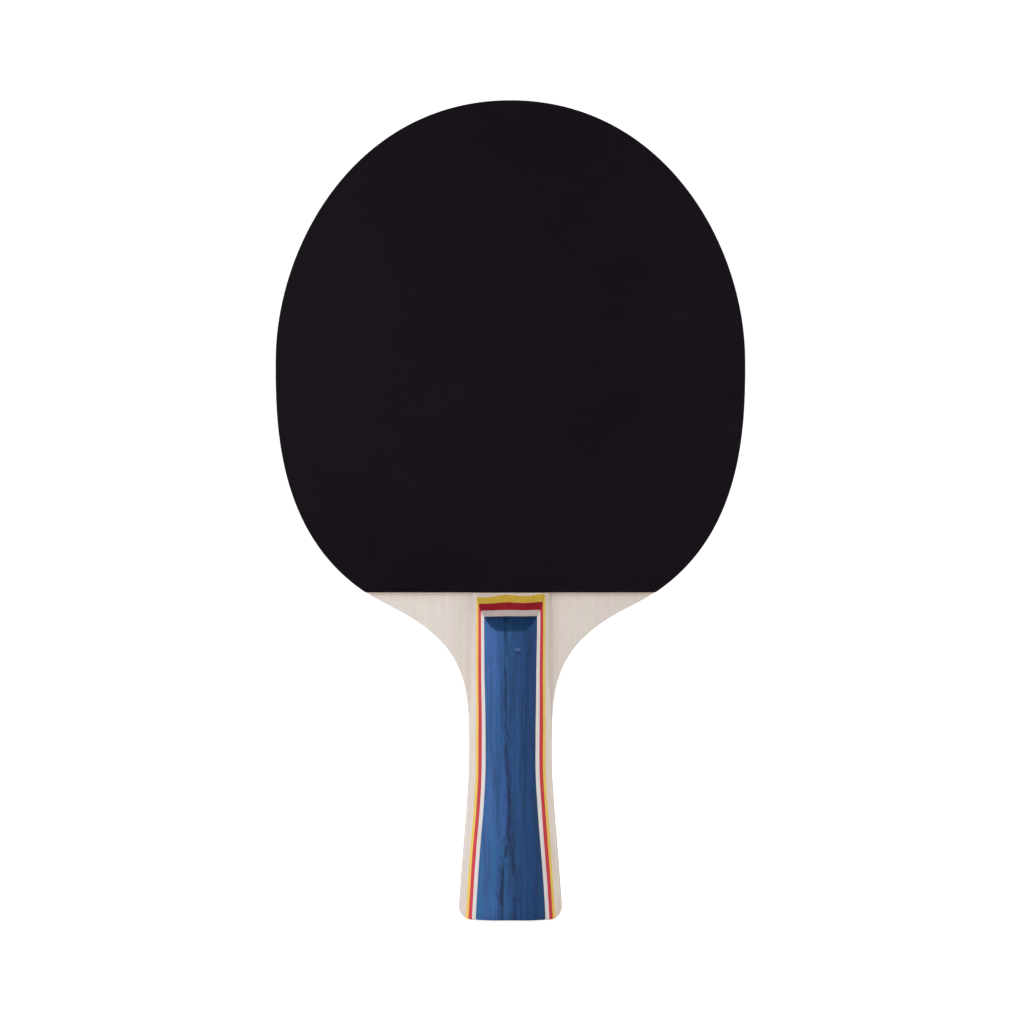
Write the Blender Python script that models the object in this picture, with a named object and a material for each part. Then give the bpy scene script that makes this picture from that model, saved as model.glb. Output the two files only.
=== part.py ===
"""Table tennis paddle: a five-ply blade, a rubber on each face and laminated handle scales.

The paddle stands upright on its butt. Z runs up the handle to the head, X across the faces
and Y through the thickness, with the black playing face towards -Y. The origin is the
centre of the flat butt end. Blender's unit is the metre, and MM turns millimetres into it.
"""

import math

import bmesh
import bpy
import numpy as np
from mathutils import Vector
from mathutils.geometry import interpolate_bezier

MM = 0.001

# Heights above the butt.
HEAD_TOP = 261.5 * MM
HEAD_WIDEST = 178.0 * MM
RUBBER_BOTTOM = 104.3 * MM
SCALE_TOP = 104.0 * MM
SHOULDER = 100.0 * MM
WAIST = 52.0 * MM

# Half widths at those heights. The shoulder is where the outline turns from hollow to full.
HEAD_HALF_WIDTH = 75.0 * MM
SHOULDER_HALF_WIDTH = 38.8 * MM
SCALE_TOP_HALF_WIDTH = 13.0 * MM
WAIST_HALF_WIDTH = 13.35 * MM
BUTT_HALF_WIDTH = 16.75 * MM
SHOULDER_ANGLE = math.radians(26.0)
FLARE_ANGLE = math.radians(93.0)

# The handle is carved to an oval that is fuller than an ellipse, whose power would be 2, and
# the crown of each side is then planed off by a little.
OVAL_POWER = 2.4
SCALE_TOP_HALF_DEPTH = 11.7 * MM
WAIST_HALF_DEPTH = 11.2 * MM
BUTT_HALF_DEPTH = 11.8 * MM
CROWN_PLANED = 0.35 * MM
BUTT_FLANK_RADIUS = 4.0 * MM
BUTT_CROWN_RADIUS = 0.6 * MM

# The upper end of each scale rises from the blade as a wall, then slopes on as a chamfer.
CHAMFER_START = 7.1 * MM
CHAMFER_ANGLE = math.radians(20.0)

# Thicknesses, from the middle of the blade outwards.
CORE = 3.0 * MM
CROSS_PLY = 0.9 * MM
FACE_PLY = 0.5 * MM
SPONGE = 1.8 * MM
TOPSHEET = 1.6 * MM
SCALE_BASE = 4.25 * MM
YELLOW_VENEER = 0.75 * MM
RED_VENEER = 0.80 * MM
WHITE_VENEER = 0.65 * MM
CROWN_BLANK = 4.0 * MM
GLUE = 0.05 * MM
BLADE_HALF_THICKNESS = CORE / 2 + GLUE + CROSS_PLY + GLUE + FACE_PLY

# How finely the curves are stepped.
HEAD_STEPS = 16
FLANK_STEPS = 9
OVAL_STEPS = 48
FILLET_STEPS = 4
SMOOTH_BELOW = math.radians(30.0)
WELD = 0.001 * MM

UPRIGHT = math.radians(90.0)
HALF_TURN = math.radians(180.0)
SIDES = (("front", -1), ("back", 1))

# The colour in 8-bit sRGB and the roughness of each material.
FINISHES = {
    "core_wood": ((214, 196, 166), 0.62),
    "cross_wood": ((196, 170, 134), 0.65),
    "face_wood": ((217, 208, 199), 0.55),
    "sponge": ((226, 178, 82), 0.95),
    "black_rubber": ((27, 23, 28), 0.48),
    "red_rubber": ((176, 24, 32), 0.42),
    "scale_wood": ((222, 206, 194), 0.55),
    "yellow_veneer": ((214, 176, 62), 0.50),
    "red_veneer": ((176, 44, 50), 0.50),
    "white_veneer": ((222, 212, 208), 0.50),
    "blue_wood": ((52, 82, 128), 0.45),
}


# Materials and collections


def linear_colour(srgb):
    """Eight-bit sRGB as the linear RGBA that a shader takes."""
    channels = [value / 255.0 for value in srgb]
    linear = [c / 12.92 if c <= 0.04045 else ((c + 0.055) / 1.055) ** 2.4 for c in channels]
    return (*linear, 1.0)


def material(name):
    """The named finish as a Principled material, made once and then shared."""
    if name in bpy.data.materials:
        return bpy.data.materials[name]
    srgb, roughness = FINISHES[name]
    made = bpy.data.materials.new(name)
    made.use_nodes = True
    shader = made.node_tree.nodes["Principled BSDF"]
    shader.inputs["Base Color"].default_value = linear_colour(srgb)
    shader.inputs["Roughness"].default_value = roughness
    shader.inputs["Metallic"].default_value = 0.0
    return made


def new_collection(name):
    collection = bpy.data.collections.new(name)
    bpy.context.scene.collection.children.link(collection)
    return collection


def add_part(obj, parts, finish):
    """Link a sub-part, give it its finish and hang it on the paddle's empty."""
    parts.objects.link(obj)
    obj.parent = bpy.data.objects["paddle"]
    obj.data.materials.append(material(finish))


def add_cutter(obj, cutters):
    cutters.objects.link(obj)
    obj.display_type = "WIRE"
    obj.hide_render = True


# Solids


def object_from(shape, name):
    """The bmesh as a new mesh object, smooth except at its sharp edges."""
    mesh = bpy.data.meshes.new(name)
    bmesh.ops.recalc_face_normals(shape, faces=shape.faces)
    shape.to_mesh(mesh)
    shape.free()
    mesh.shade_smooth()
    mesh.set_sharp_from_angle(angle=SMOOTH_BELOW)
    return bpy.data.objects.new(name, mesh)


def loft(name, rings):
    """A solid through rings of equally many points, closed by a flat face at each end."""
    shape = bmesh.new()
    loops = [[shape.verts.new(point) for point in ring] for ring in rings]
    for lower, upper in zip(loops, loops[1:]):
        for i, corner in enumerate(lower):
            j = (i + 1) % len(lower)
            shape.faces.new((corner, lower[j], upper[j], upper[i]))
    shape.faces.new(loops[0])
    shape.faces.new(loops[-1])
    return object_from(shape, name)


def box(name, lowest, highest):
    """A box primitive whose mesh fills the space between two corners."""
    lowest, highest = Vector(lowest), Vector(highest)
    shape = bmesh.new()
    bmesh.ops.create_cube(shape, size=1.0)
    bmesh.ops.scale(shape, vec=highest - lowest, verts=shape.verts)
    bmesh.ops.translate(shape, vec=(lowest + highest) / 2, verts=shape.verts)
    return object_from(shape, name)


def solid_from(curve_object):
    """A mesh object in place of a curve object, with the curve's loose caps welded on."""
    name = curve_object.name
    bpy.context.scene.collection.objects.link(curve_object)
    graph = bpy.context.evaluated_depsgraph_get()
    mesh = bpy.data.meshes.new_from_object(curve_object.evaluated_get(graph))
    placing = curve_object.matrix_world.copy()
    bpy.data.objects.remove(curve_object)
    shape = bmesh.new()
    shape.from_mesh(mesh)
    bpy.data.meshes.remove(mesh)
    bmesh.ops.remove_doubles(shape, verts=shape.verts, dist=WELD)
    solid = object_from(shape, name)
    solid.matrix_world = placing
    return solid


def boolean(obj, operation, other):
    modifier = obj.modifiers.new(f"{operation.title()} {other.name}", "BOOLEAN")
    modifier.operation = operation
    modifier.object = other


def stack(start, layers):
    """Each layer's name, finish, inner depth and outer depth, with glue lines between."""
    inner = start
    for name, finish, thickness in layers:
        yield name, finish, inner, inner + thickness
        inner += thickness + GLUE


# Outline


def knot(x, z, angle, before=0.0, after=0.0):
    """A Bezier knot in the XZ plane: its two handles lie on the line at this angle to X."""
    point = Vector((x, 0.0, z))
    along = Vector((math.cos(angle), 0.0, math.sin(angle)))
    return (point - along * before, point, point + along * after)


def mirrored(bezier_knot):
    """The knot on the other side of the paddle, its handles in the order of travel."""
    return tuple(Vector((-point.x, point.y, point.z)) for point in reversed(bezier_knot))


def through(knots, steps):
    """Points along the Bezier curve through these knots."""
    points = [knots[0][1]]
    for (_, start, leaving), (arriving, end, _) in zip(knots, knots[1:]):
        points += interpolate_bezier(start, leaving, arriving, end, steps + 1)[1:]
    return points


BUTT_KNOT = knot(BUTT_HALF_WIDTH, 0.0, FLARE_ANGLE, after=21 * MM)
WAIST_KNOT = knot(WAIST_HALF_WIDTH, WAIST, UPRIGHT, before=13.5 * MM, after=21 * MM)
SCALE_KNOT = knot(SCALE_TOP_HALF_WIDTH, SCALE_TOP, UPRIGHT, before=15 * MM)
SHOULDER_KNOT = knot(
    SHOULDER_HALF_WIDTH, SHOULDER, SHOULDER_ANGLE, before=29 * MM, after=40 * MM
)
WIDEST_KNOT = knot(HEAD_HALF_WIDTH, HEAD_WIDEST, UPRIGHT, before=21 * MM, after=38 * MM)
TOP_KNOT = knot(0.0, HEAD_TOP, HALF_TURN, before=48.5 * MM, after=48.5 * MM)

FLARE = through([BUTT_KNOT, WAIST_KNOT], FLANK_STEPS)
UPPER_FLANK = through([WAIST_KNOT, SCALE_KNOT], FLANK_STEPS)
HEAD_EDGE = through([WAIST_KNOT, SHOULDER_KNOT, WIDEST_KNOT, TOP_KNOT], HEAD_STEPS)


def ease(value):
    """Smooth step from 0 to 1, level at both ends."""
    value = min(max(value, 0.0), 1.0)
    return value * value * (3.0 - 2.0 * value)


def half_width(z):
    """Half the width of the handle's oval, from the curve of its flank."""
    flank = FLARE + UPPER_FLANK[1:]
    return float(np.interp(z, [p.z for p in flank], [p.x for p in flank]))


def half_depth(z):
    """Half the depth of the handle's oval, which is least at the waist."""
    if z < WAIST:
        return WAIST_HALF_DEPTH + (BUTT_HALF_DEPTH - WAIST_HALF_DEPTH) * ease(1.0 - z / WAIST)
    rise = ease((z - WAIST) / (SCALE_TOP - WAIST))
    return WAIST_HALF_DEPTH + (SCALE_TOP_HALF_DEPTH - WAIST_HALF_DEPTH) * rise


def corner_inset(height, radius):
    """How far an edge rounded at this radius draws in at a height above the butt."""
    below = max(radius - height, 0.0)
    return radius - math.sqrt(radius * radius - below * below)


def oval_axes(z):
    """Half width and half depth of the oval, with the rounding of the butt's long edges."""
    return half_width(z), half_depth(z) - corner_inset(z, BUTT_CROWN_RADIUS)


def crown_limit(z):
    """How deep the handle is at its planed crown."""
    return oval_axes(z)[1] - CROWN_PLANED


def flank_limit(z):
    """How far the handle reaches sideways, with the rounding of the butt's corners."""
    return half_width(z) - corner_inset(z, BUTT_FLANK_RADIUS)


def flare_heights():
    """Heights of the sections from the rounded butt up to the waist."""
    angles = [UPRIGHT * i / FILLET_STEPS for i in range(FILLET_STEPS + 1)]
    rounded = [BUTT_FLANK_RADIUS * (1.0 - math.cos(angle)) for angle in angles]
    return rounded + [p.z for p in FLARE if p.z > BUTT_FLANK_RADIUS]


def clamped(value, limit):
    return max(-limit, min(limit, value))


def oval_ring(z):
    """One section of the handle, as points round its oval."""
    width, depth = oval_axes(z)
    side, crown = flank_limit(z), crown_limit(z)
    ring = []
    for i in range(OVAL_STEPS):
        angle = 2.0 * math.pi * i / OVAL_STEPS
        x, y = math.cos(angle), math.sin(angle)
        x = math.copysign(abs(x) ** (2.0 / OVAL_POWER), x)
        y = math.copysign(abs(y) ** (2.0 / OVAL_POWER), y)
        ring.append((clamped(width * x, side), clamped(depth * y, crown), z))
    return ring


def tongue_narrowing(y, z):
    """The oval's width at depth y over its full width, fading to a square edge at the head."""
    oval = (1.0 - (abs(y) / oval_axes(z)[1]) ** OVAL_POWER) ** (1.0 / OVAL_POWER)
    return oval + (1.0 - oval) * ease((z - WAIST) / (RUBBER_BOTTOM - WAIST))


def blade_slice(y):
    """The blade's whole outline at depth y: tongue, shoulders and head."""
    side = [
        (min(half_width(z) * tongue_narrowing(y, z), flank_limit(z)), z) for z in flare_heights()
    ]
    side += [(p.x * tongue_narrowing(y, p.z), p.z) for p in HEAD_EDGE[1:-1]]
    right = [(x, y, z) for x, z in side]
    left = [(-x, y, z) for x, z in reversed(side)]
    return right + [(0.0, y, HEAD_TOP)] + left


# Sub-parts


def add_blade(parts):
    """Core with a cross ply and a face ply glued to each side, tongue and head in one."""
    core = loft("blade_core", [blade_slice(y) for y in (-CORE / 2, 0.0, CORE / 2)])
    add_part(core, parts, "core_wood")
    plies = (("cross_ply", "cross_wood", CROSS_PLY), ("face_ply", "face_wood", FACE_PLY))
    for side, sign in SIDES:
        for name, finish, inner, outer in stack(CORE / 2 + GLUE, plies):
            ply = loft(f"{side}_{name}", [blade_slice(sign * y) for y in (inner, outer)])
            add_part(ply, parts, finish)


def head_sheet(name, thickness):
    """A flat sheet with the outline of the head, upright and centred on its thickness."""
    curve = bpy.data.curves.new(name, "CURVE")
    curve.dimensions = "2D"
    curve.fill_mode = "BOTH"
    curve.extrude = thickness / 2
    curve.resolution_u = HEAD_STEPS
    right = [SHOULDER_KNOT, WIDEST_KNOT]
    knots = right + [TOP_KNOT] + [mirrored(bezier_knot) for bezier_knot in reversed(right)]
    spline = curve.splines.new("BEZIER")
    spline.bezier_points.add(len(knots) - 1)
    spline.use_cyclic_u = True
    for point, (before, centre, after) in zip(spline.bezier_points, knots):
        point.handle_left = (before.x, before.z, 0.0)
        point.co = (centre.x, centre.z, 0.0)
        point.handle_right = (after.x, after.z, 0.0)
    spline.bezier_points[0].handle_left_type = "VECTOR"
    spline.bezier_points[-1].handle_right_type = "VECTOR"
    flat = bpy.data.objects.new(name, curve)
    flat.rotation_euler.x = UPRIGHT
    return solid_from(flat)


def add_rubbers(parts, cutters):
    """Sponge and topsheet on each face, trimmed straight across above the handle."""
    reach = 2 * HEAD_HALF_WIDTH
    trim = box("rubber_trim", (-reach, -reach, 0.0), (reach, reach, RUBBER_BOTTOM))
    add_cutter(trim, cutters)
    for (side, sign), colour in zip(SIDES, ("black_rubber", "red_rubber")):
        layers = (("sponge", "sponge", SPONGE), ("topsheet", colour, TOPSHEET))
        for name, finish, inner, outer in stack(BLADE_HALF_THICKNESS + GLUE, layers):
            sheet = head_sheet(f"{side}_{name}", outer - inner)
            sheet.location.y = sign * (inner + outer) / 2
            boolean(sheet, "DIFFERENCE", trim)
            add_part(sheet, parts, finish)


def add_grip_form(cutters):
    """The carved oval of the whole handle, chamfered at its upper end on both faces."""
    heights = flare_heights() + [p.z for p in UPPER_FLANK[1:]]
    form = loft("grip_form", [oval_ring(z) for z in heights])
    add_cutter(form, cutters)
    reach = 3 * BUTT_HALF_WIDTH
    for (side, sign), turn in zip(SIDES, (0.0, HALF_TURN)):
        chamfer = box(f"{side}_chamfer", (-reach, -reach, -reach), (reach, 0.0, reach))
        chamfer.rotation_euler = (-CHAMFER_ANGLE, 0.0, turn)
        chamfer.location = (0.0, sign * CHAMFER_START, SCALE_TOP)
        add_cutter(chamfer, cutters)
        boolean(form, "DIFFERENCE", chamfer)
    return form


def add_scales(parts, cutters):
    """The layers glued on each side of the tongue, all carved to the same oval."""
    form = add_grip_form(cutters)
    layers = (
        ("scale_base", "scale_wood", SCALE_BASE),
        ("yellow_veneer", "yellow_veneer", YELLOW_VENEER),
        ("red_veneer", "red_veneer", RED_VENEER),
        ("white_veneer", "white_veneer", WHITE_VENEER),
        ("blue_crown", "blue_wood", CROWN_BLANK),
    )
    reach = 2 * BUTT_HALF_WIDTH
    for side, sign in SIDES:
        for name, finish, inner, outer in stack(BLADE_HALF_THICKNESS + GLUE, layers):
            half = (outer - inner) / 2
            blank = box(f"{side}_{name}", (-reach, -half, -reach), (reach, half, 2 * SCALE_TOP))
            blank.location.y = sign * (inner + outer) / 2
            boolean(blank, "INTERSECT", form)
            add_part(blank, parts, finish)


def main():
    for obj in list(bpy.data.objects):
        bpy.data.objects.remove(obj, do_unlink=True)
    parts = new_collection("table_tennis_paddle")
    cutters = new_collection("cutters")
    parts.objects.link(bpy.data.objects.new("paddle", None))
    add_blade(parts)
    add_rubbers(parts, cutters)
    add_scales(parts, cutters)


main()
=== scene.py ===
"""Looks of the table tennis paddle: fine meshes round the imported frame, wood and rubber
finishes made of nodes, and a pale studio.

Everything is in metres in the frame's own space: Z up the handle to the head, X across the
faces, the black rubber towards -Y. Lengths are written in millimetres times MM.
"""

import math

import bmesh
import bpy
import numpy as np
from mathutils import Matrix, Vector, noise


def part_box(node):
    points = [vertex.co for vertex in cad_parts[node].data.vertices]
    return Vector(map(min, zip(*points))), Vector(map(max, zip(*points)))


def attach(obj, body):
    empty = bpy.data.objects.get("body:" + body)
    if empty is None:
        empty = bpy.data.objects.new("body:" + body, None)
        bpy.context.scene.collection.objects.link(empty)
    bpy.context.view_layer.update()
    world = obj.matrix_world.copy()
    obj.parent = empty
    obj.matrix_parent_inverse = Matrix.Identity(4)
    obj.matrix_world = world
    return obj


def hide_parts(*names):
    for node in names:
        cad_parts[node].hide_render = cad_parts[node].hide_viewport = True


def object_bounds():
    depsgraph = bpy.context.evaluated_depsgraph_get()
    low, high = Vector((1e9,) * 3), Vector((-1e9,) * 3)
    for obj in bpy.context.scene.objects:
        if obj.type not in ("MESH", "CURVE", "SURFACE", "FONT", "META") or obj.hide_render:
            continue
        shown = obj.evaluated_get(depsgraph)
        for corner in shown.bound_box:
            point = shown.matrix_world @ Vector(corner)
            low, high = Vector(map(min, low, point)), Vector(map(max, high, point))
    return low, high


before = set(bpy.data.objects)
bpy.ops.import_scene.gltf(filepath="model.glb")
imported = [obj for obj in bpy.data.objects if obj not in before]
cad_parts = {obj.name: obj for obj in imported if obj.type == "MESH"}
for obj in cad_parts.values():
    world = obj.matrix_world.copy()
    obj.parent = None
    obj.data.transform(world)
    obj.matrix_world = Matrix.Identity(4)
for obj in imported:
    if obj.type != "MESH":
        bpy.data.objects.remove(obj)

MM = 0.001
CAD_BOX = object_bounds()
HIGHEST = CAD_BOX[1]
BODY = "root"
SIDES = (("front", -1), ("back", 1))
QUARTER_TURN = math.radians(90.0)
FULL_TURN = math.radians(360.0)

# How close two lengths must be to count as the same.
TOUCHING = 0.002 * MM


# The frame's own sizes


def depths(node):
    """Inner and outer depth of a node on the back, which mirrors the front."""
    lowest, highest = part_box(node)
    return lowest.y, highest.y


def vertices(node):
    """A CAD node's vertices as rows of x, y and z."""
    return np.array([vertex.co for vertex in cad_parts[node].data.vertices])


def right_edge(node, depth):
    """The (x, z) points of a node's right-hand edge at one depth, from the bottom upwards."""
    points = vertices(node)
    there = (np.abs(points[:, 1] - depth) < TOUCHING) & (points[:, 0] > -TOUCHING)
    return np.unique(np.round(points[there][:, [2, 0]], 7), axis=0)[:, ::-1]


SCALE_LAYERS = ("scale_base", "yellow_veneer", "red_veneer", "white_veneer", "blue_crown")
SCALE_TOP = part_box("back_scale_base")[1].z
RUBBER_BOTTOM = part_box("back_topsheet")[0].z
BLADE_FACE = depths("back_face_ply")[1]
CORE_FACE = depths("blade_core")[1]
CORE_EDGE = right_edge("blade_core", CORE_FACE)

# The waist is the narrowest place of the handle, well above the rounded butt.
GRIP_EDGE = CORE_EDGE[(CORE_EDGE[:, 1] > 0.2 * SCALE_TOP) & (CORE_EDGE[:, 1] < SCALE_TOP)]
WAIST = GRIP_EDGE[np.argmin(GRIP_EDGE[:, 0])][1]

# The chamfer at the scales' upper end is the plane through the ends of two layers.
YELLOW_INNER, CROWN_INNER = depths("back_yellow_veneer")[0], depths("back_blue_crown")[0]
YELLOW_END, CROWN_END = (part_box(f"back_{name}")[1].z for name in ("yellow_veneer", "blue_crown"))
CHAMFER_SLOPE = (CROWN_INNER - YELLOW_INNER) / (YELLOW_END - CROWN_END)
CHAMFER_ANGLE = math.atan(CHAMFER_SLOPE)

# The carved oval: its power, and half its depth at the butt, at the waist and at the top,
# before the crown is planed off.
OVAL_POWER = 2.4
CROWN_PLANED = 0.35 * MM
CROWN = vertices("back_blue_crown")
CROWN_AT_WAIST = CROWN[np.abs(CROWN[:, 2] - WAIST) < TOUCHING]
BUTT_HALF_DEPTH = HIGHEST.y + CROWN_PLANED
WAIST_HALF_DEPTH = CROWN_AT_WAIST[:, 1].max() + CROWN_PLANED
TOP_HALF_DEPTH = 11.7 * MM
BUTT_FLANK_RADIUS = 4.0 * MM
BUTT_CROWN_RADIUS = 0.6 * MM

# The scales meet the rubber's lower edge, where the CAD keeps its solids apart.
FORM_TOP = RUBBER_BOTTOM - 0.05 * MM

# Finish of the wood: creases sanded round, a chamfer whose tone fades in over a short way, glue
# lines that dip and run out of true, raised grain, and one small tear near the handle's top.
SANDED = 0.7 * MM
CHAMFER_FADE = 0.3 * MM
SHOULDER_ROUNDING = 0.42 * MM
SEAM_GROOVE = 0.05 * MM
SEAM_WAVE = 0.12 * MM
GRAIN_RELIEF = 0.035 * MM
TEAR_X, TEAR_Z = 2.3 * MM, 85.6 * MM
TEAR_HALF_WIDTH, TEAR_HALF_HEIGHT, TEAR_DEPTH = 1.3 * MM, 0.5 * MM, 0.16 * MM

# Finish of the rubber: its sheet, its broken arris, and the pimples, which are modelled only in
# a band along the cut edge, where they show.
SHEET_THICKNESS = 0.7 * MM
ARRIS = 0.12 * MM
PIMPLE_PITCH = 2.4 * MM
PIMPLE_RADIUS = 0.85 * MM
PIMPLE_TIP_SHARE = 0.88
PIMPLE_SIDES = 8
PIMPLE_BAND = 7.5 * MM
SPONGE_CELL = 0.9 * MM
SPONGE_UNEVEN = 0.05 * MM

# Faces that meet at more than this angle are shown with a crease between them.
SMOOTH_BELOW = math.radians(32.0)


# Curves and sections


def ease(value):
    """Smooth step from 0 to 1, level at both ends."""
    value = np.clip(value, 0.0, 1.0)
    return value * value * (3.0 - 2.0 * value)


def smoothed(points, steps):
    """A finer curve through the points, each span a cubic that meets its neighbours evenly."""
    spans = np.diff(points, axis=0)
    lengths = np.linalg.norm(spans, axis=1)[:, None]
    slopes = spans / lengths
    inner = slopes[:-1] * lengths[1:] + slopes[1:] * lengths[:-1]
    inner /= lengths[:-1] + lengths[1:]
    tangents = np.vstack([2 * slopes[0] - inner[0], inner, 2 * slopes[-1] - inner[-1]])
    curve = []
    for i, length in enumerate(lengths):
        for t in np.arange(steps) / steps:
            weights = (
                (1 + 2 * t) * (1 - t) ** 2,
                t * (1 - t) ** 2,
                t * t * (3 - 2 * t),
                t * t * (t - 1),
            )
            parts = (points[i], length * tangents[i], points[i + 1], length * tangents[i + 1])
            curve.append(sum(weight * part for weight, part in zip(weights, parts)))
    return np.array(curve + [points[-1]])


def corner_inset(height, radius):
    """How far an edge rounded at this radius draws in at a height above the butt."""
    below = np.maximum(radius - height, 0.0)
    return radius - np.sqrt(radius * radius - below * below)


def half_depth(z):
    """Half the depth of the handle's oval."""
    low = BUTT_HALF_DEPTH + (WAIST_HALF_DEPTH - BUTT_HALF_DEPTH) * ease(z / WAIST)
    high = (TOP_HALF_DEPTH - WAIST_HALF_DEPTH) * ease((z - WAIST) / (SCALE_TOP - WAIST))
    return low + high - corner_inset(z, BUTT_CROWN_RADIUS)


def oval_share(y, z):
    """The oval's width at depth y, as a share of its full width."""
    return np.maximum(1.0 - (np.abs(y) / half_depth(z)) ** OVAL_POWER, 0.0) ** (1.0 / OVAL_POWER)


def narrowing(y, z):
    """The blade's width at depth y over its full width: oval in the handle, square above."""
    share = oval_share(y, z)
    return share + (1.0 - share) * ease((z - WAIST) / (RUBBER_BOTTOM - WAIST))


def blade_outline():
    """The blade's full outline as (x, z), from the butt's right corner over the head."""
    x, z = CORE_EDGE.T
    right = np.column_stack([x / narrowing(CORE_FACE, z), z])
    left = right[-2::-1] * (-1, 1)
    curve = smoothed(np.vstack([right, left]), steps=6)
    return np.clip(curve, (-HIGHEST.x, 0.0), (HIGHEST.x, HIGHEST.z))


BLADE_OUTLINE = blade_outline()
RIGHT_OUTLINE = BLADE_OUTLINE[: len(BLADE_OUTLINE) // 2 + 1]
SCALE_TOP_SHARE = oval_share(depths("back_scale_base")[0], SCALE_TOP)
SCALE_CORNERS = vertices("back_scale_base")
TOP_CORNERS = SCALE_CORNERS[SCALE_CORNERS[:, 2] > SCALE_TOP - TOUCHING]
TOP_HALF_WIDTH = TOP_CORNERS[:, 0].max() / SCALE_TOP_SHARE


def flank_limit(z):
    """How far the handle reaches sideways below the waist, its butt corners rounded."""
    return np.interp(z, RIGHT_OUTLINE[:, 1], RIGHT_OUTLINE[:, 0])


def half_width(z):
    """Half the width of the handle's oval."""
    low = flank_limit(z) + corner_inset(z, BUTT_FLANK_RADIUS)
    waist = flank_limit(WAIST)
    high = waist + (TOP_HALF_WIDTH - waist) * ease((z - WAIST) / (SCALE_TOP - WAIST))
    return np.where(z < WAIST, low, high)


def chamfer_depth(z):
    """How deep the scales reach at a height where the chamfer cuts them."""
    return YELLOW_INNER + (YELLOW_END - z) * CHAMFER_SLOPE


def drawn_in(loop, inset):
    """A closed loop of flat points, moved inwards by an inset that may vary along it."""
    along = np.roll(loop, -1, axis=0) - np.roll(loop, 1, axis=0)
    along /= np.linalg.norm(along, axis=1)[:, None]
    inwards = np.column_stack([-along[:, 1], along[:, 0]])
    return loop + inwards * np.reshape(inset, (-1, 1))


def quarter_round(outer, radius, points):
    """Pairs of how far out and how far over, round a quarter circle that ends furthest out."""
    for angle in np.linspace(0.0, QUARTER_TURN, points):
        yield outer - radius * (1.0 - math.sin(angle)), radius * (1.0 - math.cos(angle))


def circle(points):
    """The points of a unit circle as rows of x and y."""
    turns = [FULL_TURN * i / points for i in range(points)]
    return np.array([(math.cos(turn), math.sin(turn)) for turn in turns])


# Meshes


def add_walls(shape, rings):
    """Adds the walls that join rings of equally many points to a bmesh."""
    loops = [[shape.verts.new(point) for point in ring] for ring in rings]
    for lower, upper in zip(loops, loops[1:]):
        for i, corner in enumerate(lower):
            j = (i + 1) % len(lower)
            shape.faces.new((corner, lower[j], upper[j], upper[i]))
    return loops


def add_rings(shape, rings):
    """Adds a closed solid through rings of equally many points to a bmesh."""
    loops = add_walls(shape, rings)
    shape.faces.new(loops[0][::-1])
    shape.faces.new(loops[-1])
    return loops


def mesh_from(shape, name):
    """Turns the bmesh into a mesh that is smooth except at its sharp edges, and frees it."""
    mesh = bpy.data.meshes.new(name)
    bmesh.ops.recalc_face_normals(shape, faces=shape.faces)
    shape.to_mesh(mesh)
    shape.free()
    mesh.shade_smooth()
    mesh.set_sharp_from_angle(angle=SMOOTH_BELOW)
    return mesh


def add_piece(mesh, slot, *nodes):
    """Shows a mesh in place of its CAD nodes, with the finish of one material slot."""
    obj = bpy.data.objects.new(mesh.name, mesh)
    bpy.context.scene.collection.objects.link(obj)
    mesh.materials.append(FINISHES[slot])
    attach(obj, BODY)
    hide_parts(*nodes)


# Blade


def blade_ring(depth, inset, sign):
    """The blade's outline at a depth, which may vary along it, as points in space."""
    x, z = BLADE_OUTLINE.T
    depth = np.broadcast_to(depth, x.shape)
    oval = (np.abs(x) + corner_inset(z, BUTT_FLANK_RADIUS)) * narrowing(depth, z)
    loop = drawn_in(np.column_stack([np.sign(x) * np.minimum(oval, np.abs(x)), z]), inset)
    return np.column_stack([loop[:, 0], sign * depth, np.maximum(loop[:, 1], 0.0)])


def ply_rings(inner, outer, sign):
    """Rings of a ply whose edge dips slightly into the glue line at each face."""
    groove, lip = SEAM_GROOVE, 1.5 * SEAM_GROOVE
    profile = ((inner, groove), (inner + lip, 0.0), (outer - lip, 0.0), (outer, groove))
    return [blade_ring(depth, inset, sign) for depth, inset in profile]


def face_ply_rings(inner, outer, sign):
    """Rings of a face ply, rounded by hand on the shoulders and crisp under the rubber."""
    fade = 2.0 * MM
    bare = ease((RUBBER_BOTTOM - BLADE_OUTLINE[:, 1]) / fade)
    radius = SEAM_GROOVE + (SHOULDER_ROUNDING - SEAM_GROOVE) * bare
    rings = ply_rings(inner, outer, sign)[:2]
    for depth, inset in quarter_round(outer, radius, 6):
        rings.append(blade_ring(depth, inset, sign))
    return rings


def add_blade():
    """The five plies, each reaching to the middle of its glue line."""
    cross_inner, cross_outer = depths("back_cross_ply")
    face_inner = depths("back_face_ply")[0]
    core_seam, face_seam = (CORE_FACE + cross_inner) / 2, (cross_outer + face_inner) / 2
    core = bmesh.new()
    add_rings(core, ply_rings(-core_seam, core_seam, 1))
    add_piece(mesh_from(core, "blade_core_wood"), "core_wood", "blade_core")
    for side, sign in SIDES:
        cross = bmesh.new()
        add_rings(cross, ply_rings(core_seam, face_seam, sign))
        add_piece(mesh_from(cross, f"{side}_cross_ply_wood"), "cross_wood", f"{side}_cross_ply")
        face = bmesh.new()
        add_rings(face, face_ply_rings(face_seam, BLADE_FACE, sign))
        add_piece(mesh_from(face, f"{side}_face_ply_wood"), "face_wood", f"{side}_face_ply")


# Rubber


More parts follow.
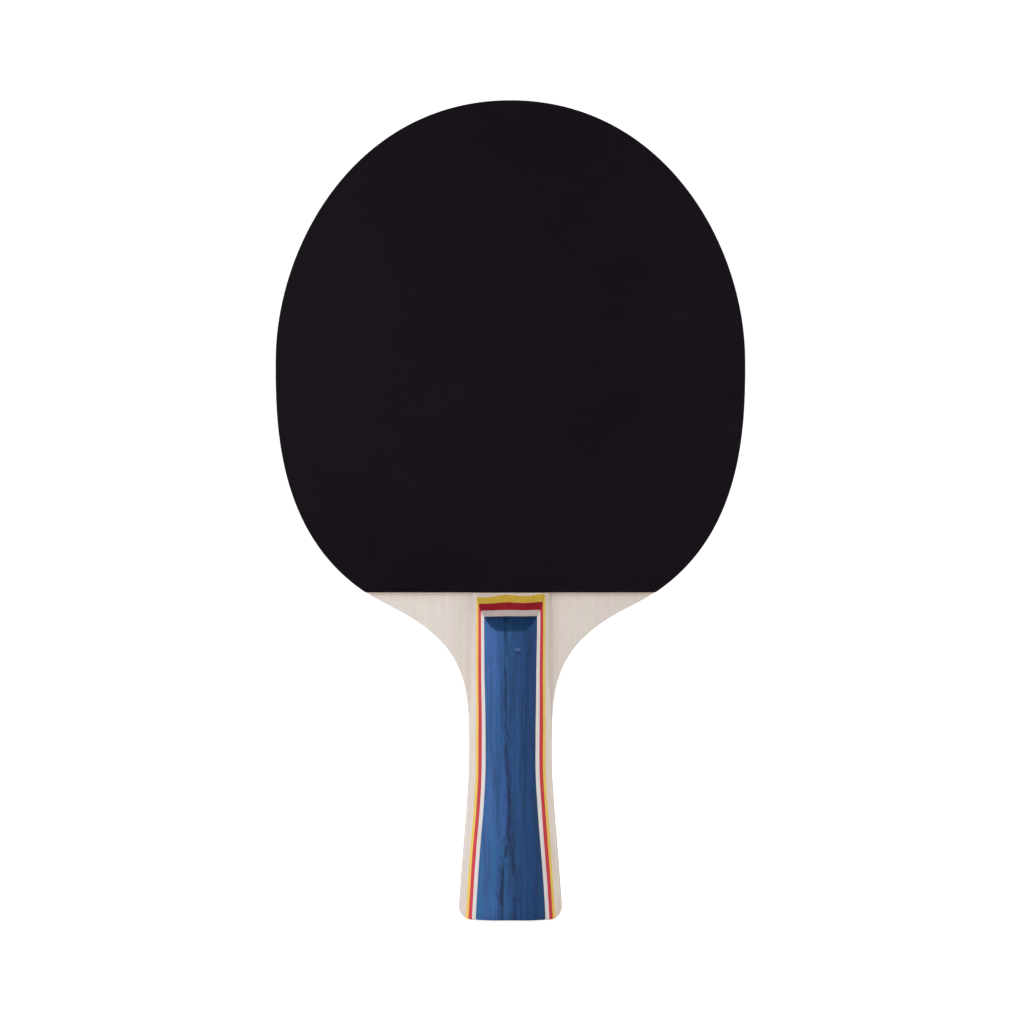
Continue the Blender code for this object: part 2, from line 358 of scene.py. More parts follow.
def head_outline():
    """The rubber's outline as (x, z): the blade's edge, then the straight cut above the handle."""
    above = BLADE_OUTLINE[BLADE_OUTLINE[:, 1] > RUBBER_BOTTOM]
    corner = np.interp(RUBBER_BOTTOM, RIGHT_OUTLINE[:, 1], RIGHT_OUTLINE[:, 0])
    cut = np.linspace(-corner, corner, round(2 * corner / MM))
    return np.vstack([above, np.column_stack([cut, np.full(len(cut), RUBBER_BOTTOM)])])


HEAD_OUTLINE = head_outline()


def head_ring(depth, inset, sign):
    """The rubber's outline at a depth and drawn in by an inset, as points in space."""
    loop = drawn_in(HEAD_OUTLINE, inset)
    return [(x, sign * depth, z) for x, z in loop]


def add_sponge(side, sign):
    """The foam layer, whose cut edge is a little uneven."""
    inner, outer = depths("back_sponge")
    shape = bmesh.new()
    rings = []
    for depth in np.linspace(inner, outer, 6):
        places = [Vector((x, depth * sign, z)) for x, z in HEAD_OUTLINE]
        uneven = np.array([noise.noise(place / SPONGE_CELL) for place in places])
        rings.append(head_ring(depth, SPONGE_UNEVEN * (1.0 + uneven), sign))
    add_rings(shape, rings)
    add_piece(mesh_from(shape, f"{side}_sponge_foam"), "sponge", f"{side}_sponge")


def add_topsheet(side, sign, slot):
    """The smooth outer sheet, with the arris of its cut edge barely broken."""
    outer = depths("back_topsheet")[1]
    rings = [head_ring(outer - SHEET_THICKNESS, 0.0, sign)]
    for depth, inset in quarter_round(outer, ARRIS, 4):
        rings.append(head_ring(depth, inset, sign))
    shape = bmesh.new()
    add_rings(shape, rings)
    add_piece(mesh_from(shape, f"{side}_topsheet_rubber"), slot, f"{side}_topsheet")


def clearance(point):
    """How far a point lies inside the head's outline, and the nearest point on the outline."""
    starts = HEAD_OUTLINE
    spans = np.roll(starts, -1, axis=0) - starts
    share = ((point - starts) * spans).sum(axis=1) / (spans * spans).sum(axis=1)
    feet = starts + spans * np.clip(share, 0.0, 1.0)[:, None]
    distances = np.linalg.norm(feet - point, axis=1)
    nearest = int(np.argmin(distances))
    across, from_edge = spans[nearest], point - starts[nearest]
    inside = across[0] * from_edge[1] - across[1] * from_edge[0] > 0.0
    return (distances[nearest] if inside else -distances[nearest]), feet[nearest]


def pimple_places():
    """Centres of the pimples that show at the cut edge, on a grid of triangles."""
    row_height = PIMPLE_PITCH * math.sqrt(3.0) / 2.0
    for row in range(int((HIGHEST.z - RUBBER_BOTTOM) / row_height) + 1):
        z = RUBBER_BOTTOM + row * row_height
        half_row = int(HIGHEST.x / PIMPLE_PITCH) + 1
        for column in range(-half_row, half_row + 1):
            centre = np.array([(column + row % 2 / 2.0) * PIMPLE_PITCH, z])
            if -PIMPLE_RADIUS / 2 < clearance(centre)[0] < PIMPLE_BAND:
                yield centre


def trimmed(point):
    """The point, or its foot on the outline if it lies outside the cut."""
    inside, foot = clearance(point)
    return point if inside > 0.0 else foot


def add_pimples(side, sign, slot):
    """Short pimples between the sheet and the sponge, cut through where the edge runs."""
    inner, outer = depths("back_topsheet")
    around = PIMPLE_RADIUS * circle(PIMPLE_SIDES)
    shape = bmesh.new()
    for centre in pimple_places():
        root = [trimmed(centre + step) for step in around]
        tip = [trimmed(centre + PIMPLE_TIP_SHARE * step) for step in around]
        # A pimple with corners that fall on one spot of the cut edge is left out.
        if len(np.unique(np.round(root, 6), axis=0)) < len(root):
            continue
        rings = ((inner, tip), (outer - SHEET_THICKNESS, root))
        add_rings(shape, [[(x, sign * depth, z) for x, z in ring] for depth, ring in rings])
    add_piece(mesh_from(shape, f"{side}_topsheet_pimples"), slot, f"{side}_topsheet")


def add_rubbers():
    """The sponge, sheet and pimples of both sides, black in front and red behind."""
    for (side, sign), slot in zip(SIDES, ("black_rubber", "red_rubber")):
        add_sponge(side, sign)
        add_topsheet(side, sign, slot)
        add_pimples(side, sign, slot)


# Handle


def form_heights():
    """Heights of the handle's rows, close together where its edges are rounded."""
    coarse, fine, margin = 0.6 * MM, 0.25 * MM, 2.0 * MM
    quarter = np.linspace(0.0, QUARTER_TURN, 9)[:-1]
    butt = BUTT_FLANK_RADIUS * (1.0 - np.cos(quarter))
    foot = FORM_TOP - (TOP_HALF_DEPTH - chamfer_depth(FORM_TOP)) / CHAMFER_SLOPE - margin
    shaft = np.linspace(BUTT_FLANK_RADIUS, foot, round((foot - BUTT_FLANK_RADIUS) / coarse))
    chamfer = np.linspace(foot, FORM_TOP, round((FORM_TOP - foot) / fine))
    return np.concatenate([butt, shaft[:-1], chamfer])


def crown_depth(z):
    """How deep the handle is at its planed crown."""
    return half_depth(z) - CROWN_PLANED


def raw_ring(z, columns=240):
    """One section of the handle before sanding: the oval, cut flat by crowns and chamfers."""
    angle = np.arange(columns) * FULL_TURN / columns
    cosine, sine = np.cos(angle), np.sin(angle)
    x = half_width(z) * np.sign(cosine) * np.abs(cosine) ** (2.0 / OVAL_POWER)
    y = half_depth(z) * np.sign(sine) * np.abs(sine) ** (2.0 / OVAL_POWER)
    if z < BUTT_FLANK_RADIUS:
        x = np.clip(x, -flank_limit(z), flank_limit(z))
    deepest = min(chamfer_depth(z), crown_depth(z))
    return np.column_stack([x, np.clip(y, -deepest, deepest), np.full(columns, z)])


def oval_gap_and_normal(x, y, z):
    """Distance inside the oval and the oval's outward direction."""
    width, depth = half_width(z), half_depth(z)
    filled = (np.abs(x) / width) ** OVAL_POWER + (np.abs(y) / depth) ** OVAL_POWER
    across = OVAL_POWER * np.sign(x) * np.abs(x) ** (OVAL_POWER - 1) / width**OVAL_POWER
    through = OVAL_POWER * np.sign(y) * np.abs(y) ** (OVAL_POWER - 1) / depth**OVAL_POWER
    steepness = np.hypot(across, through)
    normal = np.stack([across, through, np.zeros_like(x)], axis=-1) / steepness[..., None]
    return (1.0 - filled) / steepness, normal


def corner_gap_and_normal(x, z):
    """Distance inside the butt's rounded corners and their outward direction."""
    past = np.abs(x) - half_width(z) + BUTT_FLANK_RADIUS
    sideways, down = np.maximum(past, TOUCHING), np.maximum(BUTT_FLANK_RADIUS - z, 0.0)
    reach = np.hypot(sideways, down)
    normal = np.stack([np.sign(x) * sideways, np.zeros_like(x), -down], axis=-1) / reach[..., None]
    return np.where(down > 0.0, BUTT_FLANK_RADIUS - reach, SANDED), normal


def sanded(points):
    """The raw form with its creases rounded, and how much of a crease each point was."""
    x, y, z = np.moveaxis(points, -1, 0)
    sine, cosine = math.sin(CHAMFER_ANGLE), math.cos(CHAMFER_ANGLE)
    chamfer_gap = (chamfer_depth(z) - np.abs(y)) * cosine
    level = np.zeros_like(x)
    surfaces = (
        oval_gap_and_normal(x, y, z),
        corner_gap_and_normal(x, z),
        (crown_depth(z) - np.abs(y), np.stack([level, np.sign(y), level], axis=-1)),
        (chamfer_gap, np.stack([level, np.sign(y) * cosine, level + sine], axis=-1)),
    )
    total, direction = 0.0, 0.0
    for gap, normal in surfaces:
        near = np.clip(1.0 - gap / SANDED, 0.0, 1.0) ** 2
        total = total + near
        direction = direction + near[..., None] * normal
    length = np.linalg.norm(direction, axis=-1)
    crease = np.clip((total**2 - length**2) / 2.0, 0.0, 1.0)
    direction = direction / length[..., None]
    on_chamfer = np.clip(1.0 - chamfer_gap / CHAMFER_FADE, 0.0, 1.0)
    taken_off = crease * SANDED / 4.0
    return points - direction * taken_off[..., None], crease, on_chamfer


def carving(point):
    """How far the surface lies below the smooth form: grain, tool waves and one small tear."""
    grain = noise.noise(Vector((point.x / 0.8, point.y / 0.8, point.z / 14.0)) / MM)
    waves = noise.noise(Vector((point.x / 9.0, point.y / 9.0, point.z / 17.0)) / MM)
    across = (point.x - TEAR_X) / TEAR_HALF_WIDTH
    above = (point.z - TEAR_Z) / TEAR_HALF_HEIGHT
    tear = TEAR_DEPTH * math.exp(-(across**2) - above**2) if point.y < 0.0 else 0.0
    return GRAIN_RELIEF * (1.0 + 0.6 * grain + 0.9 * waves) + tear


def handle_form():
    """The whole carved handle as one mesh, with what the finishes need to know of it."""
    points, crease, on_chamfer = sanded(np.array([raw_ring(z) for z in form_heights()]))
    shape = bmesh.new()
    marks = {name: shape.verts.layers.float.new(name) for name in ("crease", "chamfer")}
    loops = add_rings(shape, points)
    for i, loop in enumerate(loops):
        for j, vertex in enumerate(loop):
            vertex[marks["crease"]] = crease[i, j]
            vertex[marks["chamfer"]] = on_chamfer[i, j]
    shape.normal_update()
    carved = [vertex.co - vertex.normal * carving(vertex.co) for vertex in shape.verts]
    for vertex, place in zip(shape.verts, carved):
        vertex.co = (place.x, place.y, max(place.z, 0.0))
    return mesh_from(shape, "handle_form")


def seam_wave(point):
    """How a glue line tilts and waves at a place, from about -2 to 2."""
    x, z = point.x / MM, point.z / MM
    tilt = 0.45 * math.sin(x / 9.0)
    return tilt + math.cos(x / 2.0 + 1.0) + 0.5 * math.sin(z / 5.3 + x / 6.0)


def shift_depths(shape, amount):
    """Moves every point in depth by the wave at its place times an amount."""
    for vertex in shape.verts:
        vertex.co.y += amount * seam_wave(vertex.co)


def cut_at_seam(shape, sign, seam, facing):
    """Cuts away what lies past a seam and closes the cut. The seam is its depth and its wave."""
    depth, wave = seam
    shift_depths(shape, sign * wave)
    everything = shape.verts[:] + shape.edges[:] + shape.faces[:]
    plane = (0.0, sign * depth, 0.0)
    bmesh.ops.bisect_plane(
        shape, geom=everything, plane_co=plane, plane_no=(0.0, facing, 0.0), clear_outer=True
    )
    rim = [edge for edge in shape.edges if edge.is_boundary]
    bmesh.ops.holes_fill(shape, edges=rim, sides=0)
    shift_depths(shape, -sign * wave)


def cut_layer(form, name, sign, inner, outer):
    """The part of the form between two seams on one side."""
    shape = bmesh.new()
    shape.from_mesh(form)
    cut_at_seam(shape, sign, inner, -sign)
    cut_at_seam(shape, sign, outer, sign)
    return mesh_from(shape, name)


def scale_seams():
    """Depth and wave of a scale's seams, from the blade outwards, each half as wavy as the last."""
    faces = [depths(f"back_{name}") for name in SCALE_LAYERS]
    on_the_blade, past_the_crown = faces[0][0], 2 * faces[-1][1]
    seams = [(on_the_blade, 0.0)]
    for i, (below, above) in enumerate(zip(faces, faces[1:])):
        seams.append(((below[1] + above[0]) / 2, SEAM_WAVE / 2**i))
    return seams + [(past_the_crown, 0.0)]


def add_scales():
    """Each layer of the two scales, cut from one carved form so that they lie flush."""
    form = handle_form()
    slots = ("scale_wood", "yellow_veneer", "red_veneer", "white_veneer", "blue_wood")
    seams = scale_seams()
    for side, sign in SIDES:
        for name, slot, inner, outer in zip(SCALE_LAYERS, slots, seams, seams[1:]):
            layer = cut_layer(form, f"{side}_{name}_wood", sign, inner, outer)
            add_piece(layer, slot, f"{side}_{name}")
    bpy.data.meshes.remove(form)


# Finishes


def srgb(red, green, blue):
    """Eight-bit sRGB as the linear RGBA that a shader takes."""
    channels = [value / 255.0 for value in (red, green, blue)]
    linear = [c / 12.92 if c <= 0.04045 else ((c + 0.055) / 1.055) ** 2.4 for c in channels]
    return (*linear, 1.0)


class Finish:
    """A material built by short calls. Each call adds nodes and returns their output socket."""

    def __init__(self, name):
        self.material = bpy.data.materials.new(f"{name}_finish")
        self.material.use_nodes = True
        self.tree = self.material.node_tree
        self.shader = self.tree.nodes["Principled BSDF"]
        self.place = self.add("ShaderNodeTexCoord").outputs["Object"]

    def add(self, kind, inputs=None, **settings):
        """A new node with its settings and inputs."""
        node = self.tree.nodes.new(kind)
        for name, value in settings.items():
            setattr(node, name, value)
        for key, value in (inputs or {}).items():
            self.feed(node.inputs[key], value)
        return node

    def feed(self, socket, value):
        """Links another node's output to an input, or sets a plain value."""
        if isinstance(value, bpy.types.NodeSocket):
            self.tree.links.new(value, socket)
        else:
            socket.default_value = value

    def calc(self, operation, first, second=0.0, third=0.0):
        """One arithmetic step."""
        inputs = {0: first, 1: second, 2: third}
        return self.add("ShaderNodeMath", inputs, operation=operation).outputs[0]

    def axes(self):
        """The place's X, Y and Z, each as a value."""
        return self.add("ShaderNodeSeparateXYZ", {0: self.place}).outputs

    def blended(self, parts):
        """The sum of values, each times its share."""
        total = 0.0
        for value, share in parts:
            total = self.calc("MULTIPLY_ADD", value, share, total)
        return total

    def scaled_place(self, size, shift=0.0):
        """The place in units of a size given in millimetres along X, Y and Z."""
        inverse = [1.0 / (length * MM) for length in size]
        inputs = {0: self.place, 1: inverse, 2: (shift, shift, shift)}
        return self.add("ShaderNodeVectorMath", inputs, operation="MULTIPLY_ADD").outputs[0]

    def noise(self, size, detail=2.0, shift=0.0):
        """Soft noise from 0 to 1 with blotches of a size in millimetres."""
        inputs = {"Vector": self.scaled_place(size, shift), "Scale": 1.0, "Detail": detail}
        return self.add("ShaderNodeTexNoise", inputs).outputs["Fac"]

    def ranged(self, value, low, high, start=0.0, end=1.0):
        """The value's stretch from low to high as one from start to end, clamped."""
        inputs = {"Value": value, "From Min": low, "From Max": high, "To Min": start, "To Max": end}
        return self.add("ShaderNodeMapRange", inputs, interpolation_type="SMOOTHSTEP").outputs[0]

    def mixed(self, share, first, second, blend="MIX"):
        """The first colour with a share of the second."""
        # The Mix node numbers its factor 0, its two colours 6 and 7, and the mixed colour 2.
        inputs = {0: share, 6: first, 7: second}
        return self.add("ShaderNodeMix", inputs, data_type="RGBA", blend_type=blend).outputs[2]

    def times(self, colour, filter_colour):
        """A colour as seen through another one."""
        return self.mixed(1.0, colour, filter_colour, blend="MULTIPLY")

    def across(self, half_span, left, right):
        """A colour that changes from left to right over a span across the middle."""
        return self.mixed(self.ranged(self.axes()["X"], -half_span, half_span), left, right)

    def mark(self, name):
        """A value that the mesh carries at its vertices."""
        return self.add("ShaderNodeAttribute", attribute_name=name).outputs["Fac"]

    def bump(self, height, distance, below=None):
        """Fine relief from a height value, on top of another relief if one is given."""
        inputs = {"Height": height, "Distance": distance}
        if below is not None:
            inputs["Normal"] = below
        return self.add("ShaderNodeBump", inputs).outputs[0]

    def shade(self, colour, roughness, normal, specular=0.5):
        """Completes the material."""
        self.feed(self.shader.inputs["Base Color"], colour)
        self.feed(self.shader.inputs["Roughness"], roughness)
        self.feed(self.shader.inputs["Normal"], normal)
        self.feed(self.shader.inputs["Specular IOR Level"], specular)
        return self.material


# Pairs of colours that a finish is seen through. The first is two hues of the wood's bands. The
# others are tones at the left and at the right, which blend over a span across the middle.
CREAM_AND_PINK = (srgb(255, 254, 249), srgb(255, 251, 252))
# Painted shade: the face ply's right shoulder a touch darker, as the lamps fall from the left.
FACE_PAINTED_SHADE = (srgb(255, 255, 255), srgb(245, 244, 243))
# Painted shade and light: the scale's left flank greyer and darker, its right flank lighter.
SCALE_PAINTED_SHADE_AND_LIGHT = ((0.86, 0.88, 0.96, 1.0), (1.07, 1.05, 0.99, 1.0))
# Painted light and shade: the crown lighter to the left and darker to the right, as if lit from the
# left.
STAIN_PAINTED_LIGHT_AND_SHADE = ((1.56, 1.45, 1.37, 1.0), (0.40, 0.60, 0.64, 1.0))
RUBBER_DRIFT = ((0.85, 0.85, 0.85, 1.0), (1.15, 1.15, 1.15, 1.0))
WOOD_HALF_SPAN, STAIN_HALF_SPAN = 35 * MM, 8 * MM


def along_grain(axis, across, length):
    """A size in millimetres that is long along the grain's axis."""
    return [length if name == axis else across for name in "XYZ"]


def wood(name, light, dark, pore, axis="Z", end_grain_and_shade_share=0.4, tints=None, painted_light=None):
    """Sanded wood: slow bands, fibres and short open pores, all drawn out along the grain.

    On the chamfer a share of the pores' colour is mixed in, as its end grain looks darker and as
    painted shade, since it faces up away from the low lamps. A tone from side to side, if given, is
    painted light and shade.
    """
    finish = Finish(name)
    bands = finish.noise(along_grain(axis, 1.5, 120.0), 1.0)
    fibres = finish.noise(along_grain(axis, 0.32, 16.0), 4.0, shift=3.7)
    tone = finish.blended([(bands, 0.6), (fibres, 0.4)])
    colour = finish.mixed(finish.ranged(tone, 0.34, 0.66), dark, light)
    if tints:
        hue = finish.noise(along_grain(axis, 0.8, 70.0), 1.0, shift=6.2)
        colour = finish.times(colour, finish.mixed(finish.ranged(hue, 0.38, 0.62), *tints))
    # Painted light and shade: one side of the wood lighter than the other.
    if painted_light:
        colour = finish.times(colour, finish.across(WOOD_HALF_SPAN, *painted_light))
    dashes = finish.noise(along_grain(axis, 0.16, 2.6), 1.0, shift=8.1)
    pores = finish.ranged(dashes, 0.60, 0.74)
    colour = finish.mixed(finish.calc("MULTIPLY", pores, 0.22), colour, pore)
    # Partly the darker end grain of the chamfer and partly painted shade, as it faces up away from
    # the low lamps.
    end_grain_and_shade = finish.calc("MULTIPLY", finish.mark("chamfer"), end_grain_and_shade_share)
    colour = finish.mixed(end_grain_and_shade, colour, pore)
    height = finish.calc("SUBTRACT", fibres, finish.calc("MULTIPLY", pores, 0.8))
    rough = finish.ranged(fibres, 0.3, 0.7, 0.44, 0.56)
    specular = finish.ranged(finish.mark("chamfer"), 0.0, 1.0, 0.4, 0.1)
    return finish.shade(colour, rough, finish.bump(height, 0.02 * MM), specular)


def spot(finish, x, z, half_width, half_height):
    """A ragged oval spot on the front, 1 at its middle and 0 outside."""
    place = finish.axes()
    across = finish.calc("DIVIDE", finish.calc("SUBTRACT", place["X"], x), half_width)
    above = finish.calc("DIVIDE", finish.calc("SUBTRACT", place["Z"], z), half_height)
    away = finish.calc("MULTIPLY_ADD", across, across, finish.calc("MULTIPLY", above, above))
    ragged = finish.noise((0.9, 0.9, 0.5), 3.0, shift=9.4)
    away = finish.calc("MULTIPLY_ADD", ragged, 1.6, finish.calc("SUBTRACT", away, 0.8))
    front = finish.calc("LESS_THAN", place["Y"], 0.0)
    return finish.calc("MULTIPLY", finish.ranged(away, 0.0, 1.0, 1.0, 0.0), front)


def centre_vein(finish):
    """The dark vein down the crown: one line above, which forks towards the butt."""
    place = finish.axes()
    bend = finish.noise((30.0, 30.0, 6.5), 3.0, shift=1.3)
    lean = finish.ranged(place["Z"], 35 * MM, 62 * MM, -0.5 * MM, -1.4 * MM)
    wobble = finish.calc("MULTIPLY_ADD", bend, 1.4 * MM, -0.7 * MM)
    centre = finish.calc("ADD", lean, wobble)
    away = finish.calc("ABSOLUTE", finish.calc("SUBTRACT", place["X"], centre))
    fork = finish.ranged(place["Z"], 8 * MM, 34 * MM, 2.2 * MM, 0.0)
    away = finish.calc("ABSOLUTE", finish.calc("SUBTRACT", away, fork))
    vein = finish.ranged(away, 0.15 * MM, 1.1 * MM, 0.9, 0.0)
    broken = finish.ranged(finish.noise((0.9, 0.9, 4.5), 3.0, shift=5.2), 0.36, 0.56, 0.35, 1.0)
    blotches = finish.ranged(finish.noise((0.8, 0.8, 2.2), 3.0, shift=7.7), 0.52, 0.62)
    near = finish.ranged(away, 0.8 * MM, 2.6 * MM, 0.6, 0.0)
    low = finish.ranged(place["Z"], 10 * MM, 90 * MM, 1.0, 0.5)
    blotched = finish.calc("MULTIPLY", finish.calc("MULTIPLY", blotches, near), low)
    return finish.calc("MAXIMUM", finish.calc("MULTIPLY", vein, broken), blotched)


def blue_end_grain_and_shade(finish):
    """The chamfer's colour: the stain's darker end grain with painted shade, as it faces up away
    from the low lamps; dark at its upper edge, in bands from side to side.
    """
    bands = finish.noise((7.0, 7.0, 0.5), 2.0, shift=3.3)
    height = finish.ranged(finish.axes()["Z"], CROWN_END - 4.5 * MM, CROWN_END, 0.75, 0.0)
    tone = finish.calc("MULTIPLY_ADD", finish.ranged(bands, 0.36, 0.64), 0.5, height)
    return finish.mixed(tone, srgb(8, 25, 48), srgb(21, 54, 90))


def blue_wood():
    """The stained crown: soft streaks of two blues, a dark vein, open pores, worn creases, and
    painted light and shade: lighter to the left, darker to the right and on the chamfer, and a
    shadow under the tear.
    """
    finish = Finish("blue_wood")
    streaks = finish.noise((1.3, 1.3, 26.0), 3.0)
    fibres = finish.noise((0.3, 0.3, 9.0), 4.0, shift=2.2)
    hue = finish.noise((1.7, 1.7, 40.0), 1.0, shift=4.4)
    blue = finish.mixed(finish.ranged(hue, 0.35, 0.65), srgb(40, 90, 142), srgb(50, 86, 150))
    tone = finish.blended([(streaks, 0.6), (fibres, 0.4)])
    colour = finish.mixed(finish.ranged(tone, 0.32, 0.60), srgb(33, 66, 113), blue)
    # Painted light and shade: lighter to the left, darker to the right.
    colour = finish.times(colour, finish.across(STAIN_HALF_SPAN, *STAIN_PAINTED_LIGHT_AND_SHADE))
    dark = srgb(16, 28, 56)
    colour = finish.mixed(finish.calc("MULTIPLY", centre_vein(finish), 0.8), colour, dark)
    dashes = finish.noise((0.2, 0.2, 3.4), 1.0, shift=8.1)
    pores = finish.ranged(dashes, 0.60, 0.74)
    colour = finish.mixed(finish.calc("MULTIPLY", pores, 0.4), colour, dark)
    # The chamfer: partly darker end grain, partly painted shade, as it faces up away from the low
    # lamps.
    end_grain_and_shade = finish.calc("MULTIPLY", finish.mark("chamfer"), 0.8)
    colour = finish.mixed(end_grain_and_shade, colour, blue_end_grain_and_shade(finish))
    chips = finish.ranged(finish.noise((0.7, 0.7, 0.9), 2.0, shift=6.6), 0.55, 0.68)
    worn = finish.calc("MULTIPLY", finish.calc("MULTIPLY", finish.mark("crease"), chips), 0.5)
    colour = finish.mixed(worn, colour, srgb(120, 140, 165))
    # A lighter fleck above the tear: raised raw fibre, partly a painted highlight.
    lifted_fibre_and_highlight = spot(finish, TEAR_X, TEAR_Z + 0.7 * MM, 1.25 * MM, 0.6 * MM)
    colour = finish.mixed(finish.calc("MULTIPLY", lifted_fibre_and_highlight, 0.42), colour, srgb(104, 136, 176))
    # A painted shadow below the raised fibre, inside the tear.
    tear_shadow = spot(finish, TEAR_X + 0.2 * MM, TEAR_Z - 0.5 * MM, 1.2 * MM, 0.8 * MM)
    colour = finish.mixed(finish.calc("MULTIPLY", tear_shadow, 0.7), colour, srgb(20, 42, 82))
    height = finish.calc("SUBTRACT", fibres, finish.calc("MULTIPLY", pores, 1.2))
    rough = finish.ranged(fibres, 0.3, 0.7, 0.44, 0.58)
    specular = finish.ranged(finish.mark("chamfer"), 0.0, 1.0, 0.22, 0.06)
    return finish.shade(colour, rough, finish.bump(height, 0.03 * MM), specular)


def rubber(name, base, worn, specular):
    """Smooth rubber, a little lighter to the right, its pimples barely showing through."""
    finish = Finish(name)
    bloom = finish.noise((22.0, 22.0, 22.0), 3.0)
    speckle = finish.noise((0.3, 0.3, 0.3), 2.0, shift=2.9)
    mottle = finish.blended([(bloom, 0.6), (speckle, 0.4)])
    colour = finish.mixed(finish.ranged(mottle, 0.3, 0.7), base, worn)
    colour = finish.times(colour, finish.across(HIGHEST.x, *RUBBER_DRIFT))
    rough = finish.ranged(mottle, 0.3, 0.7, 0.48, 0.55)
    normal = finish.bump(pimple_height(finish), 0.004 * MM)
    return finish.shade(colour, rough, finish.bump(speckle, 0.006 * MM, below=normal), specular)


def pimple_height(finish):
    """Waves in three directions that peak over each pimple."""
    place = finish.axes()
    frequency = 4.0 * math.pi / (math.sqrt(3.0) * PIMPLE_PITCH)
    total = 0.0
    for turn in (30.0, 90.0, 150.0):
        angle = math.radians(turn)
        across = finish.calc("MULTIPLY", place["X"], math.cos(angle) * frequency)
        up = finish.calc("SUBTRACT", place["Z"], RUBBER_BOTTOM)
        up = finish.calc("MULTIPLY", up, math.sin(angle) * frequency)
        total = finish.calc("ADD", total, finish.calc("COSINE", finish.calc("ADD", across, up)))
    return finish.calc("DIVIDE", total, 3.0)


def sponge():
    """Open foam: an orange body with small cells painted dark as the shade inside them."""
    finish = Finish("sponge")
    cells = finish.noise((0.16, 0.16, 0.16), 2.0)
    tone = finish.noise((3.0, 3.0, 3.0), 2.0, shift=1.1)
    body = finish.mixed(finish.ranged(tone, 0.35, 0.65), srgb(222, 168, 74), srgb(236, 188, 98))
    # Painted shade: the open cells darker, as shade falls inside them.
    cell_shade = finish.ranged(cells, 0.56, 0.66)
    colour = finish.mixed(cell_shade, body, srgb(150, 98, 34))
    return finish.shade(colour, 0.92, finish.bump(cells, -0.1 * MM), specular=0.2)


FINISHES = {
    "core_wood": wood("core_wood", srgb(228, 210, 182), srgb(208, 186, 154), srgb(160, 130, 96)),
    "cross_wood": wood(
        "cross_wood", srgb(206, 178, 140), srgb(176, 146, 108), srgb(120, 92, 62), axis="X"
    ),
    "face_wood": wood(
        "face_wood",
        srgb(238, 230, 224),
        srgb(233, 225, 219),
        srgb(200, 180, 160),
        tints=CREAM_AND_PINK,
        painted_light=FACE_PAINTED_SHADE,
    ),
    "scale_wood": wood(
        "scale_wood",
        srgb(240, 230, 221),
        srgb(230, 217, 206),
        srgb(180, 154, 130),
        tints=CREAM_AND_PINK,
        painted_light=SCALE_PAINTED_SHADE_AND_LIGHT,
    ),
    "yellow_veneer": wood(
        "yellow_veneer", srgb(249, 216, 98), srgb(238, 198, 76), srgb(148, 110, 0), end_grain_and_shade_share=0.53
    ),
    "red_veneer": wood(
        "red_veneer", srgb(222, 54, 70), srgb(204, 42, 58), srgb(84, 0, 10), end_grain_and_shade_share=0.68
    ),
    "white_veneer": wood(
        "white_veneer", srgb(238, 231, 228), srgb(228, 219, 216), srgb(138, 104, 96), end_grain_and_shade_share=0.53
    ),
    "blue_wood": blue_wood(),
    "black_rubber": rubber("black_rubber", srgb(18, 11, 19), srgb(22, 15, 23), specular=0.05),
    "red_rubber": rubber("red_rubber", srgb(170, 14, 24), srgb(178, 20, 29), specular=0.2),
    "sponge": sponge(),
}


# Studio

WHITE = (1.0, 1.0, 1.0, 1.0)
PAPER, PALER_PAPER = (0.80, 0.80, 0.80, 1.0), (0.82, 0.82, 0.82, 1.0)
PAPER_GLOW = 0.7
WORLD_LIGHT = 0.22
CAMERA_PLACE = (0.5 * MM, -1.0, 130.0 * MM)
CAMERA_LENS, CAMERA_SENSOR = 109.4, 36.0


def studio_finish():
    """Pale paper that the camera sees brighter than it lights the paddle."""
    finish = Finish("studio_paper")
    fleck = finish.noise((40.0, 40.0, 40.0), 2.0)
    paper = finish.mixed(finish.ranged(fleck, 0.3, 0.7), PAPER, PALER_PAPER)
    material = finish.shade(paper, 0.9, finish.bump(fleck, 0.01 * MM), specular=0.1)
    seen = finish.add("ShaderNodeLightPath").outputs["Is Camera Ray"]
    glow = finish.calc("MULTIPLY", seen, PAPER_GLOW)
    finish.feed(finish.shader.inputs["Emission Color"], WHITE)
    finish.feed(finish.shader.inputs["Emission Strength"], glow)
    return material


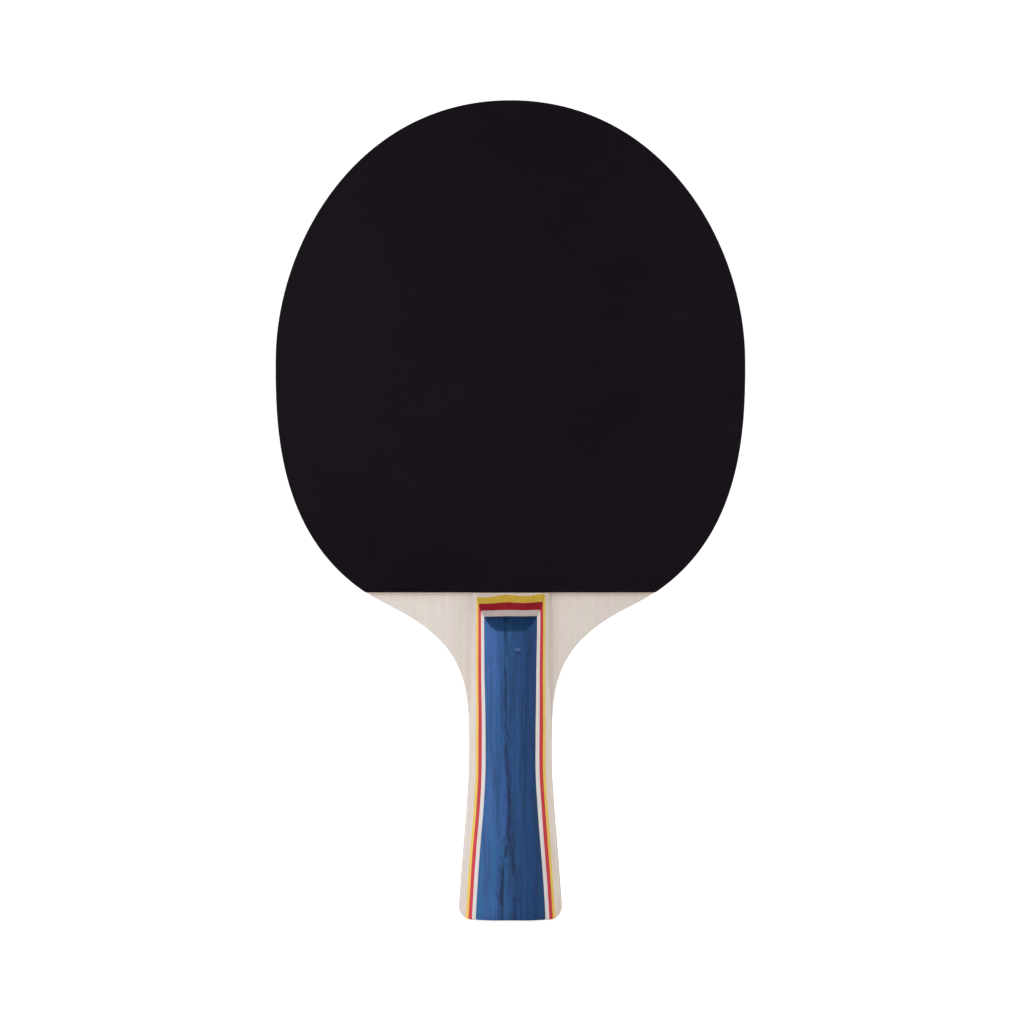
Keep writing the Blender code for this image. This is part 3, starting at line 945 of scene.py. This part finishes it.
def add_studio():
    """A round floor that sweeps up into a wall, so that it looks the same from every side."""
    radius, corner, height = 3.2, 1.2, 2.6
    profile = [(0.02, 0.0), (0.3, 0.0), (1.0, 0.0)]
    profile += quarter_round(radius, corner, 17)
    profile.append((radius, height))
    rings = [[(x, y, z) for x, y in circle(96) * reach] for reach, z in profile]
    shape = bmesh.new()
    loops = add_walls(shape, rings)
    shape.faces.new(loops[0])
    mesh = mesh_from(shape, "studio_sweep")
    mesh.materials.append(studio_finish())
    sweep = bpy.data.objects.new("studio_sweep", mesh)
    bpy.context.scene.collection.objects.link(sweep)


def softbox(name, place, side, watts):
    """A square area light at a place in metres, turned to the handle's upper end."""
    light = bpy.data.lights.new(name, "AREA")
    light.size = side
    light.energy = watts
    obj = bpy.data.objects.new(name, light)
    target = Vector((0.0, 0.0, SCALE_TOP))
    obj.location = place
    obj.rotation_euler = (target - obj.location).to_track_quat("-Z", "Y").to_euler()
    bpy.context.scene.collection.objects.link(obj)


def add_lights():
    """A low key and a side light from the left, a fill from the right and two lights behind."""
    softbox("key", (-0.95, -1.45, 0.05), 1.5, 26.0)
    softbox("side", (-1.6, 0.1, 0.1), 0.9, 10.0)
    softbox("fill", (1.5, -1.1, 0.2), 1.3, 14.5)
    softbox("back_left", (-1.4, 1.3, 0.9), 1.0, 12.0)
    softbox("back_right", (1.4, 1.3, 0.9), 1.0, 14.0)
    world = bpy.data.worlds.new("studio")
    world.use_nodes = True
    background = world.node_tree.nodes["Background"]
    background.inputs["Color"].default_value = WHITE
    background.inputs["Strength"].default_value = WORLD_LIGHT
    bpy.context.scene.world = world


def add_camera():
    """A long lens square to the black face, level with the middle of the paddle."""
    camera = bpy.data.cameras.new("camera")
    camera.sensor_width = CAMERA_SENSOR
    camera.lens = CAMERA_LENS
    obj = bpy.data.objects.new("camera", camera)
    obj.location = CAMERA_PLACE
    obj.rotation_euler = (QUARTER_TURN, 0.0, 0.0)
    bpy.context.scene.collection.objects.link(obj)
    bpy.context.scene.camera = obj
    bpy.context.scene.view_settings.view_transform = "Standard"


add_blade()
add_rubbers()
add_scales()
add_studio()
add_lights()
add_camera()
